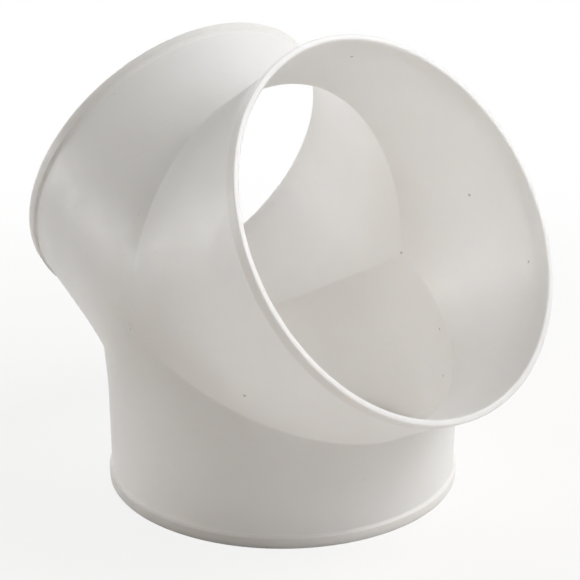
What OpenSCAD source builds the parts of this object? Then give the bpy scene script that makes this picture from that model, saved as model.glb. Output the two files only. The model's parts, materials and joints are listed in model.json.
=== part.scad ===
// Three-way equal splitter for round ventilation duct.
// One moulded plastic fitting: three short socket arms on one level, 120 degrees apart.
// One mouth stands on the bench, and the mark of the mould's gate faces -Y.

/* [Sockets] */
// Bore of each socket, which the end of a duct pushes into
socket_d = 101; // [80:0.5:125]
// Length of the straight bore, behind the rounded edge of the mouth
socket_depth = 17.4; // [10:0.1:22]
// Thickness of the wall round each socket
socket_wall = 1; // [0.8:0.1:4]
// Radius of the rounded inner edge of the mouth, which leads the duct in
mouth_edge_r = 0.6; // [0.2:0.05:0.9]

/* [Rim bands] */
// Width of the band round each mouth, with its sloped back
band_w = 3.6; // [2:0.1:8]
// How far the band stands proud of the arm
band_proud = 0.8; // [0.2:0.1:2]
// Width of the slope from the band down to the arm
band_slope_w = 0.6; // [0.2:0.1:1.5]
// Radius of the band's outer corner at the mouth
band_corner_r = 0.4; // [0.1:0.05:0.6]

/* [Arms] */
// Distance from the point where the three axes meet to each mouth
arm_length = 56.5; // [50:0.5:90]
// How much narrower the bore is where the arms meet, on the radius
core_draft = 0.9; // [0:0.1:2]
// How much fuller the outside is where the arms meet, on the radius
belly = 1.45; // [0.2:0.05:4]
// Length of arm over which that fullness runs out
belly_run = 31; // [15:1:40]

/* [Gate mark] */
// Diameter of the round recess where the plastic was fed in
gate_d = 4.6; // [3.4:0.1:8]
// Depth of that recess
gate_depth = 0.2; // [0.15:0.05:1]
// Diameter of the flat stub left in the middle of the recess
stub_d = 3; // [1.6:0.1:3.2]
// How far the stub stops short of the body's skin
stub_drop = 0.1; // [0.05:0.05:0.5]
// Diameter of the pit in the stub, where the gate broke off
pit_d = 0.8; // [0.6:0.1:1.4]
// Depth of the pit below the body's skin
pit_depth = 0.35; // [0.25:0.05:1.2]
// How far the mark sits below the point where the creases meet
gate_below = 0.9; // [0:0.1:3]

/* [Hidden] */

// Three equal arms share the circle between them
arm_count = 3;
arm_angle = 360 / arm_count;
half_angle = arm_angle / 2;

bore_r = socket_d / 2;
arm_r = bore_r + socket_wall;
band_r = arm_r + band_proud;
centre_r = arm_r + belly;
junction_bore_r = bore_r - core_draft;
bore_end = arm_length - mouth_edge_r;
bore_start = bore_end - socket_depth;

// Steps along the belly's curve and round the two edges of a rim
belly_steps = 10;
corner_step = 30;
// How far cutting shapes run past what they cut
overrun = 1;
$fn = 144;

// Fullness of the outside at a distance along the arm: level at both ends of its run
function belly_at(along) = belly * (1 + cos(180 * along / belly_run)) / 2;

// Half section of an arm's outside, from the meeting point to the mouth
function arm_outline() = concat(
    [[0, 0]],
    [for (step = [0:belly_steps])
        let (along = belly_run * step / belly_steps)
        [arm_r + belly_at(along), along]],
    [[arm_r, arm_length - band_w],
     [band_r, arm_length - band_w + band_slope_w]],
    [for (turn = [0:corner_step:90])
        [band_r - band_corner_r * (1 - cos(turn)),
         arm_length - band_corner_r * (1 - sin(turn))]],
    [[0, arm_length]]);

// Half section of an arm's bore: drafted core, straight socket, rounded edge
function bore_outline() = concat(
    [[0, 0],
     [junction_bore_r, 0],
     [bore_r, bore_start]],
    [for (turn = [0:corner_step:90])
        [bore_r + mouth_edge_r * (1 - cos(turn)),
         bore_end + mouth_edge_r * sin(turn)]],
    [[bore_r + mouth_edge_r, arm_length + overrun],
     [0, arm_length + overrun]]);

// Half section of the tool that leaves the gate mark, as radius and height above the skin
function gate_outline() = [
    [0, -pit_depth],
    [pit_d / 2, -pit_depth],
    [pit_d / 2, -stub_drop],
    [stub_d / 2, -stub_drop],
    [stub_d / 2, -gate_depth],
    [gate_d / 2, -gate_depth],
    [gate_d / 2, overrun],
    [0, overrun]];

// The share of space that belongs to one arm, between the planes where it meets its neighbours
module arm_share() {
    reach = arm_length + 2 * overrun;
    spread = reach * tan(half_angle);
    rotate([90, 0, 0])
        linear_extrude(height = 2 * (centre_r + band_proud + overrun), center = true)
            polygon([[0, 0], [spread, reach], [-spread, reach]]);
}

// One arm, pointing up, mitred where it meets the other two
module arm() {
    intersection() {
        difference() {
            rotate_extrude() polygon(arm_outline());
            rotate_extrude() polygon(bore_outline());
        }
        arm_share();
    }
}

// What the gate mark takes out of the front, just below where the three arms meet
module gate_cut() {
    translate([0, -centre_r, -gate_below])
        rotate([90, 0, 0])
            rotate_extrude() polygon(gate_outline());
}

module splitter_body() {
    color([0.86, 0.85, 0.83])
        translate([0, 0, arm_length])
            difference() {
                union() {
                    for (turn = [0:arm_count - 1])
                        rotate([0, half_angle + turn * arm_angle, 0]) arm();
                }
                gate_cut();
            }
}

splitter_body();
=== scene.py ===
import json
import math

import bpy
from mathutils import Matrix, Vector


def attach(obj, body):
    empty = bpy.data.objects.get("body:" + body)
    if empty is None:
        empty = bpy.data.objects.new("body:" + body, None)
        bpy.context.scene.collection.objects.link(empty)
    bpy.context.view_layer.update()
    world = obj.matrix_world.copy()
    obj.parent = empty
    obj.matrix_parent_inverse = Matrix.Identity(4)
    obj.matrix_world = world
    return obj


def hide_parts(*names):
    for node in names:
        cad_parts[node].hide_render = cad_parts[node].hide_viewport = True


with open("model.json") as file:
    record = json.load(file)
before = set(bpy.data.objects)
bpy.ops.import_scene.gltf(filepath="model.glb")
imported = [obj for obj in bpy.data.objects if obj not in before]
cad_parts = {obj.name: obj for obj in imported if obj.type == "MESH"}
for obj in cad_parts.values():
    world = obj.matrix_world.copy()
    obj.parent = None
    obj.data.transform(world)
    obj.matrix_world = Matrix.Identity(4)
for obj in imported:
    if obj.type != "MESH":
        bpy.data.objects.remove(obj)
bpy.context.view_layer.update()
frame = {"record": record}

# The splitter's body is injection moulded in one piece: three equal socket arms of thin white
# plastic that meet in plain mitres. One arm is made pointing up from the point where the three
# axes meet, then copied, and the copies are welded along the mitres. Sizes are in metres.
ARM_COUNT = 3
ARM_TURN = math.tau / ARM_COUNT
MITRE_SLOPE = 1 / math.tan(ARM_TURN / 2)
ARM_LENGTH = 0.0565
SOCKET_WALL = 0.001
MOUTH_EDGE = 0.0006
BAND_PROUD = 0.0008
BAND_WIDTH = 0.0036
BAND_SLOPE = 0.0006
WALL_SIDES = 192
WELD = 1e-6
socket = frame["record"]["mounts"][0]
bore_r = socket["dims"]["r_mm"] / 1000
bore_start = ARM_LENGTH - MOUTH_EDGE - socket["dims"]["length_mm"] / 1000
arm_r = bore_r + SOCKET_WALL
band_r = arm_r + BAND_PROUD
band_foot = ARM_LENGTH - BAND_WIDTH


def select_vertices(mesh, test):
    """Selects the vertices that pass a test, and nothing else, and stays in edit mode."""
    bpy.ops.object.mode_set(mode="EDIT")
    bpy.ops.mesh.select_mode(type="VERT")
    bpy.ops.mesh.select_all(action="DESELECT")
    bpy.ops.object.mode_set(mode="OBJECT")
    for vertex in mesh.vertices:
        vertex.select = test(vertex.co)
    bpy.ops.object.mode_set(mode="EDIT")


def move_selected(mesh, place):
    """Moves each selected vertex to where a rule puts it."""
    bpy.ops.object.mode_set(mode="OBJECT")
    for vertex in mesh.vertices:
        if vertex.select:
            vertex.co = place(vertex.co)
    bpy.ops.object.mode_set(mode="EDIT")


def add_ring(mesh, radius, height):
    """Carries the selected open edge on to a ring of this radius, at this height."""
    bpy.ops.mesh.extrude_edges_move()
    move_selected(mesh, lambda co: (*(co.xy.normalized() * radius), height))


def on_mitre(co):
    """Whether a point lies on the planes where an arm meets its neighbours."""
    return abs(co.z - abs(co.x) * MITRE_SLOPE) < WELD


# The wall starts as a plain tube. Its upper edge is carried over the band and the rim and back
# down the bore, and then both lower edges are raised to the mitre.
bpy.ops.object.select_all(action="DESELECT")
bpy.ops.mesh.primitive_cylinder_add(
    vertices=WALL_SIDES,
    radius=arm_r,
    depth=band_foot,
    end_fill_type="NOTHING",
    location=(0, 0, band_foot / 2),
)
arm = bpy.context.object
bpy.ops.object.transform_apply(location=True)
wall = arm.data
select_vertices(wall, lambda co: co.z > band_foot / 2)
add_ring(wall, band_r, band_foot + BAND_SLOPE)
add_ring(wall, band_r, ARM_LENGTH)
add_ring(wall, bore_r, ARM_LENGTH)
add_ring(wall, bore_r, bore_start)
add_ring(wall, bore_r, 0)
select_vertices(wall, lambda co: co.z < WELD)
move_selected(wall, lambda co: (co.x, co.y, abs(co.x) * MITRE_SLOPE))

# The long strips that end at the mitre are cut into short ones, so that they can curve.
WALL_CUTS = 14
select_vertices(wall, lambda co: False)
bpy.ops.mesh.select_mode(type="EDGE")
bpy.ops.object.mode_set(mode="OBJECT")
for edge in wall.edges:
    ends = [on_mitre(wall.vertices[index].co) for index in edge.vertices]
    edge.select = ends[0] != ends[1]
bpy.ops.object.mode_set(mode="EDIT")
bpy.ops.mesh.subdivide(number_cuts=WALL_CUTS)
bpy.ops.object.mode_set(mode="OBJECT")
mitre = arm.vertex_groups.new(name="mitre")
mitre.add([vertex.index for vertex in wall.vertices if on_mitre(vertex.co)], 1, "REPLACE")


def round_rings(mesh, rings, radius, steps):
    """Rounds the edges that run round the arm at these radii and heights."""
    def on_ring(co):
        return any(abs(co.xy.length - r) < WELD and abs(co.z - height) < WELD for r, height in rings)

    select_vertices(mesh, on_ring)
    bpy.ops.mesh.select_mode(type="EDGE")
    bpy.ops.mesh.bevel(offset=radius, segments=steps, profile=0.5)
    bpy.ops.object.mode_set(mode="OBJECT")


# The band's corner, the inner edge of the mouth and both edges of the band's slope are rounded.
BAND_CORNER = 0.0004
BAND_CORNER_STEPS = 4
MOUTH_EDGE_STEPS = 5
SLOPE_EDGE = 0.00012
SLOPE_EDGE_STEPS = 2
round_rings(wall, [(band_r, ARM_LENGTH)], BAND_CORNER, BAND_CORNER_STEPS)
round_rings(wall, [(bore_r, ARM_LENGTH)], MOUTH_EDGE, MOUTH_EDGE_STEPS)
slope_rings = [(arm_r, band_foot), (band_r, band_foot + BAND_SLOPE)]
round_rings(wall, slope_rings, SLOPE_EDGE, SLOPE_EDGE_STEPS)

# Below the band the outside swells towards the meeting point, and the bore narrows there. Each
# point moves straight out from the meeting point, so one on a mitre stays on it.
BELLY = 0.00145
BELLY_RUN = 0.031
BELLY_ROUNDS = 8
CORE_DRAFT = 0.0009


def swell(co):
    """Gives the new place of a point. The swelling depends on the new height, so it takes rounds."""
    if co.xy.length > (arm_r + bore_r) / 2:
        scale = 1
        for _ in range(BELLY_ROUNDS):
            share = min(scale * co.z / BELLY_RUN, 1)
            scale = 1 + BELLY * (1 + math.cos(math.pi * share)) / 2 / arm_r
        return co * scale
    if co.z < bore_start:
        return co * (bore_r - CORE_DRAFT) / (bore_r - CORE_DRAFT * co.z / bore_start)
    return co


select_vertices(wall, lambda co: co.z < band_foot - WELD)
move_selected(wall, swell)
bpy.ops.object.mode_set(mode="OBJECT")

# The arm is copied round the meeting point, and the three are welded into one wall.
arm_turns = [ARM_TURN * (number + 0.5) for number in range(ARM_COUNT)]
arms = [arm]
while len(arms) < ARM_COUNT:
    bpy.ops.object.select_all(action="DESELECT")
    arm.select_set(True)
    bpy.context.view_layer.objects.active = arm
    bpy.ops.object.duplicate()
    arms.append(bpy.context.object)
for piece, turn in zip(arms, arm_turns):
    piece.rotation_euler.y = turn
    piece.location.z = ARM_LENGTH
    piece.select_set(True)
bpy.context.view_layer.objects.active = arm
bpy.ops.object.transform_apply(location=True, rotation=True)
bpy.ops.object.join()
body = bpy.context.object
body.name = "splitter_shell"
bpy.ops.object.mode_set(mode="EDIT")
bpy.ops.mesh.select_all(action="SELECT")
bpy.ops.mesh.remove_doubles(threshold=WELD)
bpy.ops.mesh.normals_make_consistent(inside=False)

# The creases that the mitres leave, inside and out, are softened a little.
CREASE_RADIUS = 0.0004
CREASE_STEPS = 3
bpy.ops.mesh.select_mode(type="VERT")
bpy.ops.mesh.select_all(action="DESELECT")
body.vertex_groups.active = body.vertex_groups["mitre"]
bpy.ops.object.vertex_group_select()
bpy.ops.mesh.select_mode(type="EDGE")
bpy.ops.mesh.bevel(offset=CREASE_RADIUS, segments=CREASE_STEPS, profile=0.5, clamp_overlap=True)
bpy.ops.object.mode_set(mode="OBJECT")

# The mark of the mould's gate is cut into the front, on the point where the three creases meet:
# a shallow round recess, with the flat stub of the gate in it and the pit where it broke off. The
# cutter is built up from the bottom of the pit, with the body's surface at height 0.
GATE_SIDES = 48
GATE_R = 0.0023
GATE_DEPTH = 0.0002
GATE_BELOW = 0.0009
STUB_R = 0.0015
STUB_DROP = 0.0001
PIT_R = 0.0004
PIT_DEPTH = 0.00035
bpy.ops.object.select_all(action="DESELECT")
bpy.ops.mesh.primitive_circle_add(
    vertices=GATE_SIDES, radius=PIT_R, fill_type="NGON", location=(0, 0, -PIT_DEPTH)
)
cutter = bpy.context.object
bpy.ops.object.transform_apply(location=True)
select_vertices(cutter.data, lambda co: True)
bpy.ops.mesh.select_mode(type="EDGE")
add_ring(cutter.data, PIT_R, -STUB_DROP)
add_ring(cutter.data, STUB_R, -STUB_DROP)
add_ring(cutter.data, STUB_R, -GATE_DEPTH)
add_ring(cutter.data, GATE_R, -GATE_DEPTH)
add_ring(cutter.data, GATE_R, GATE_R)
bpy.ops.mesh.edge_face_add()
bpy.ops.mesh.select_all(action="SELECT")
bpy.ops.mesh.normals_make_consistent(inside=False)
bpy.ops.object.mode_set(mode="OBJECT")
cutter.rotation_euler.x = math.pi / 2
cutter.location = (0, -(arm_r + BELLY), ARM_LENGTH - GATE_BELOW)
cut = body.modifiers.new("gate mark", "BOOLEAN")
cut.object = cutter
cut.solver = "EXACT"
bpy.ops.object.select_all(action="DESELECT")
body.select_set(True)
bpy.context.view_layer.objects.active = body
bpy.ops.object.modifier_apply(modifier="gate mark")
bpy.data.objects.remove(cutter)

# The cut can leave two points on almost the same spot, so the body is welded again. Then its
# shading is made smooth.
SHARP_ANGLE = math.radians(30)
select_vertices(body.data, lambda co: True)
bpy.ops.mesh.remove_doubles(threshold=WELD)
bpy.ops.object.mode_set(mode="OBJECT")
bpy.ops.object.shade_smooth_by_angle(angle=SHARP_ANGLE)
even = body.modifiers.new("even normals", "WEIGHTED_NORMAL")
even.keep_sharp = True
bpy.ops.object.modifier_apply(modifier="even normals")

# The rim bands are thicker than the wall, so less light comes through them. Their outer faces are
# marked, and that shade is painted on them: the plastic's colour is made a little darker there.
BAND_MARGIN = BAND_PROUD / 10
centre = Vector((0, 0, ARM_LENGTH))
axes = [Vector((math.sin(turn), 0, math.cos(turn))) for turn in arm_turns]
band_shade_mask = body.data.attributes.new(name="band", type="FLOAT", domain="FACE")
for face in body.data.polygons:
    spot = face.center - centre
    axis = max(axes, key=spot.dot)
    along = spot.dot(axis)
    from_axis = (spot - axis * along).length
    band_shade_mask.data[face.index].value = float(along > band_foot and from_axis > arm_r + BAND_MARGIN)


def feed(tree, entry, value):
    """Gives a node's input a link, or a plain value."""
    if isinstance(value, bpy.types.NodeSocket):
        tree.links.new(value, entry)
    else:
        entry.default_value = value


def add_math(tree, operation, first, second, clamp=False):
    """Works out one value from two, each a link or a number."""
    node = tree.nodes.new("ShaderNodeMath")
    node.operation = operation
    node.use_clamp = clamp
    feed(tree, node.inputs[0], first)
    feed(tree, node.inputs[1], second)
    return node.outputs["Value"]


def add_noise(tree, place, scale, detail):
    """Adds a noise pattern of this scale on these coordinates."""
    noise = tree.nodes.new("ShaderNodeTexNoise")
    feed(tree, noise.inputs["Vector"], place)
    feed(tree, noise.inputs["Scale"], scale)
    feed(tree, noise.inputs["Detail"], detail)
    return noise.outputs["Fac"]


def add_range(tree, value, before, after, shape="LINEAR"):
    """Maps one range of values, its start and end, on to another, and goes no further."""
    span = tree.nodes.new("ShaderNodeMapRange")
    span.interpolation_type = shape
    feed(tree, span.inputs["Value"], value)
    feed(tree, span.inputs["From Min"], before[0])
    feed(tree, span.inputs["From Max"], before[1])
    feed(tree, span.inputs["To Min"], after[0])
    feed(tree, span.inputs["To Max"], after[1])
    return span.outputs["Result"]


def add_mix(tree, share, under, over, blend="MIX"):
    """Lays one colour over another, each a link or a plain colour."""
    mix = tree.nodes.new("ShaderNodeMix")
    mix.data_type = "RGBA"
    mix.blend_type = blend
    entries = {entry.identifier: entry for entry in mix.inputs}
    feed(tree, entries["Factor_Float"], share)
    feed(tree, entries["A_Color"], under)
    feed(tree, entries["B_Color"], over)
    return next(item for item in mix.outputs if item.identifier == "Result_Color")


# The plastic is a warm white polypropylene with a satin skin, whose colour drifts a little in soft
# clouds. The wall is milky: light that falls on one side comes through to the other.
PLASTIC_DARK = (0.867, 0.854, 0.834, 1)
PLASTIC_LIGHT = (0.895, 0.882, 0.864, 1)
# Painted shade on the rim bands, where less light comes through the thicker plastic.
BAND_PAINTED_SHADE = (0.945, 0.94, 0.935, 1)
CLOUD_SCALE = 45
CLOUD_DETAIL = 3
CLOUD_SPREAD = (0.3, 0.7)
MILKINESS = 1
MILKY_TINT = (1, 0.95, 0.88)
MILKY_DEPTH = 0.0035
SATIN_SCALE = 150
SATIN_DETAIL = 2
SATIN_SPREAD = (0.35, 0.65)
SATIN_ROUGHNESS = (0.38, 0.46)
GRAIN_SCALE = 900
GRAIN_DETAIL = 2
GRAIN_STRENGTH = 0.05
GRAIN_HEIGHT = 0.0002
plastic = bpy.data.materials.new("white_plastic")
plastic.use_nodes = True
tree = plastic.node_tree
skin = tree.nodes["Principled BSDF"]
place = tree.nodes.new("ShaderNodeTexCoord").outputs["Object"]
clouds = add_range(tree, add_noise(tree, place, CLOUD_SCALE, CLOUD_DETAIL), CLOUD_SPREAD, (0, 1))
colour = add_mix(tree, clouds, PLASTIC_DARK, PLASTIC_LIGHT)
# The marked band faces get the painted shade, multiplied into the colour.
band = tree.nodes.new("ShaderNodeAttribute")
band.attribute_name = "band"
colour = add_mix(tree, band.outputs["Fac"], colour, BAND_PAINTED_SHADE, "MULTIPLY")

# A few fine dark specks lie in the skin, each placed by a point near it in millimetres, and fainter
# dust is scattered among them. Each fades out from its middle to its edge.
SPECK_COLOUR = (0.12, 0.1, 0.08, 1)
SPECK_EDGE = (0.00025, 0.00055)
SPECK_STRENGTH = (0.5, 0)
SPECKS = (
    (23, 41, 24),
    (51, 44, 67),
    (18, 10, 120),
    (37, -46, 44),
    (0, 47, 57),
    (20, 43, 38),
    (27, 46, 80),
)
DUST_SCALE = 130
DUST_EDGE = (0.02, 0.05)
DUST_STRENGTH = (0.12, 0)
gaps = []
for spot in SPECKS:
    distance = tree.nodes.new("ShaderNodeVectorMath")
    distance.operation = "DISTANCE"
    feed(tree, distance.inputs[0], place)
    feed(tree, distance.inputs[1], body.closest_point_on_mesh(Vector(spot) / 1000)[1])
    gaps.append(distance.outputs["Value"])
gap = gaps[0]
for other in gaps[1:]:
    gap = add_math(tree, "MINIMUM", gap, other)
colour = add_mix(tree, add_range(tree, gap, SPECK_EDGE, SPECK_STRENGTH), colour, SPECK_COLOUR)
dust = tree.nodes.new("ShaderNodeTexVoronoi")
feed(tree, dust.inputs["Vector"], place)
feed(tree, dust.inputs["Scale"], DUST_SCALE)
dusty = add_range(tree, dust.outputs["Distance"], DUST_EDGE, DUST_STRENGTH)
feed(tree, skin.inputs["Base Color"], add_mix(tree, dusty, colour, SPECK_COLOUR))
feed(tree, skin.inputs["Subsurface Weight"], MILKINESS)
feed(tree, skin.inputs["Subsurface Radius"], MILKY_TINT)
feed(tree, skin.inputs["Subsurface Scale"], MILKY_DEPTH)
satin = add_noise(tree, place, SATIN_SCALE, SATIN_DETAIL)
feed(tree, skin.inputs["Roughness"], add_range(tree, satin, SATIN_SPREAD, SATIN_ROUGHNESS))
bump = tree.nodes.new("ShaderNodeBump")
feed(tree, bump.inputs["Strength"], GRAIN_STRENGTH)
feed(tree, bump.inputs["Distance"], GRAIN_HEIGHT)
feed(tree, bump.inputs["Height"], add_noise(tree, place, GRAIN_SCALE, GRAIN_DETAIL))
feed(tree, skin.inputs["Normal"], bump.outputs["Normal"])
body.data.materials.clear()
body.data.materials.append(plastic)
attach(body, "root")
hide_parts("splitter_body")

# The splitter stands on a wide matt floor, a warm white. The camera sees it as plain white, apart
# from a faint shadow near the splitter, which fades out with the distance.
FLOOR_WIDTH = 8
FLOOR_COLOUR = (0.84, 0.8, 0.76, 1)
FLOOR_ROUGHNESS = 0.9
WHITE = (1, 1, 1, 1)
SHADOW_REACH = (0.1, 0.45)
SHADOW_COVER = (0.84, 1)


def add_seen(tree):
    """Gives 1 to what is seen directly, in gloss or through something clear, and 0 to the rest."""
    ray = tree.nodes.new("ShaderNodeLightPath").outputs
    clear = add_math(tree, "ADD", ray["Is Camera Ray"], ray["Is Glossy Ray"])
    return add_math(tree, "ADD", clear, ray["Is Transmission Ray"], clamp=True)


bpy.ops.object.select_all(action="DESELECT")
bpy.ops.mesh.primitive_plane_add(size=FLOOR_WIDTH)
floor = bpy.context.object
floor.name = "floor"
paper = bpy.data.materials.new("floor_white")
paper.use_nodes = True
tree = paper.node_tree
matt = tree.nodes["Principled BSDF"]
feed(tree, matt.inputs["Base Color"], FLOOR_COLOUR)
feed(tree, matt.inputs["Roughness"], FLOOR_ROUGHNESS)
glow = tree.nodes.new("ShaderNodeEmission")
feed(tree, glow.inputs["Color"], WHITE)
reach = tree.nodes.new("ShaderNodeVectorMath")
reach.operation = "LENGTH"
feed(tree, reach.inputs[0], tree.nodes.new("ShaderNodeTexCoord").outputs["Object"])
cover = add_range(tree, reach.outputs["Value"], SHADOW_REACH, SHADOW_COVER, "SMOOTHSTEP")
blend = tree.nodes.new("ShaderNodeMixShader")
feed(tree, blend.inputs["Fac"], add_math(tree, "MULTIPLY", add_seen(tree), cover))
feed(tree, blend.inputs[1], matt.outputs["BSDF"])
feed(tree, blend.inputs[2], glow.outputs["Emission"])
feed(tree, tree.nodes["Material Output"].inputs["Surface"], blend.outputs["Shader"])
floor.data.materials.append(paper)

# The camera stands in front, to the right and a little above, where the photograph was taken. Its
# angles are in radians, its lens and sensor in millimetres and its places in metres.
CAMERA_TURN = math.radians(49.02)
CAMERA_RISE = math.radians(17.81)
CAMERA_DISTANCE = 0.3439
CAMERA_LENS = 73.28
CAMERA_SENSOR = 36
CAMERA_NEAREST = 0.01
AIM_RIGHT = 0.00216
AIM_DOWN = 0.00137


def outwards(turn, rise):
    """Points out from the splitter, turned this far from its front and raised this far."""
    return Vector((
        math.sin(turn) * math.cos(rise),
        -math.cos(turn) * math.cos(rise),
        math.sin(rise),
    ))


back = outwards(CAMERA_TURN, CAMERA_RISE)
right = Vector((math.cos(CAMERA_TURN), math.sin(CAMERA_TURN), 0))
lens = bpy.data.cameras.new("camera")
lens.sensor_width = CAMERA_SENSOR
lens.lens = CAMERA_LENS
lens.clip_start = CAMERA_NEAREST
camera = bpy.data.objects.new("camera", lens)
camera.location = centre + right * AIM_RIGHT - back.cross(right) * AIM_DOWN + back * CAMERA_DISTANCE
camera.rotation_euler = back.to_track_quat("Z", "Y").to_euler()
bpy.context.scene.collection.objects.link(camera)
bpy.context.scene.camera = camera

# Soft flat panels stand about the splitter, all at one distance. Each has its height and its turn
# from the camera in degrees, its width and height in metres, and its power in watts.
LAMP_DISTANCE = 1.1
LAMPS = {
    "key": (48, 90, 0.5, 0.5, 5.9),
    "right": (35, 70, 0.5, 0.5, 4.0),
    "back_low": (8, 195, 0.7, 0.4, 4.3),
    "back_high": (45, 180, 0.5, 0.5, 1.1),
    "left_back": (30, 250, 0.5, 0.5, 1.8),
    "left_low": (5, 260, 0.4, 0.3, 2.2),
    "front": (20, 20, 0.6, 0.5, 0.9),
}
for name, (rise, turn, wide, high, watts) in LAMPS.items():
    towards = outwards(CAMERA_TURN + math.radians(turn), math.radians(rise))
    light = bpy.data.lights.new(name, "AREA")
    light.shape = "RECTANGLE"
    light.size = wide
    light.size_y = high
    light.energy = watts
    lamp = bpy.data.objects.new(name, light)
    lamp.location = centre + towards * LAMP_DISTANCE
    lamp.rotation_euler = towards.to_track_quat("Z", "Y").to_euler()
    lamp.visible_camera = False
    bpy.context.scene.collection.objects.link(lamp)

# The world is plain white to the camera, in gloss and through anything clear. It adds no other light.
world = bpy.data.worlds.new("studio")
world.use_nodes = True
tree = world.node_tree
sky = tree.nodes["Background"]
feed(tree, sky.inputs["Color"], WHITE)
feed(tree, sky.inputs["Strength"], add_seen(tree))
bpy.context.scene.world = world
bpy.context.scene.view_settings.view_transform = "Standard"
